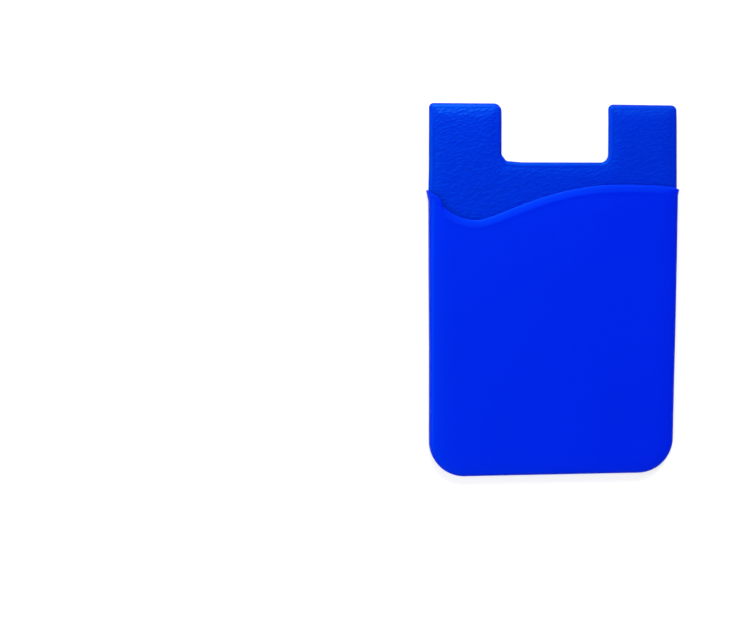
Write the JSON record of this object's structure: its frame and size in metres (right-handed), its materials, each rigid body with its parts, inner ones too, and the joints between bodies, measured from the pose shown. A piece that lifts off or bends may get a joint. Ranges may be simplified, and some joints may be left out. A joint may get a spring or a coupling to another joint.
{
  "type": "stick-on phone card holder",
  "caption": "Flat silicone card pocket with a wavy rimmed mouth, leather-grain back panel, camera notch between side lugs, and adhesive pad under a release liner.",
  "frame": {"origin": "under the middle of the holder, on the surface that its back lies on", "axes": "+Y along the card slot towards the lugs, +X across the pocket to the right as its front is seen, +Z out of the pocket's front"},
  "size_m": [0.059, 0.086, 0.0038],
  "materials": {
    "blue_silicone": "satin silicone, leather grain on the exposed back panel",
    "clear_adhesive": "tacky acrylic film",
    "liner_paper": "smooth release coating"
  },
  "bodies": {
    "root": {"silicone_pocket": "blue_silicone", "adhesive_pad": "clear_adhesive", "release_liner": "liner_paper"}
  },
  "joints": []
}
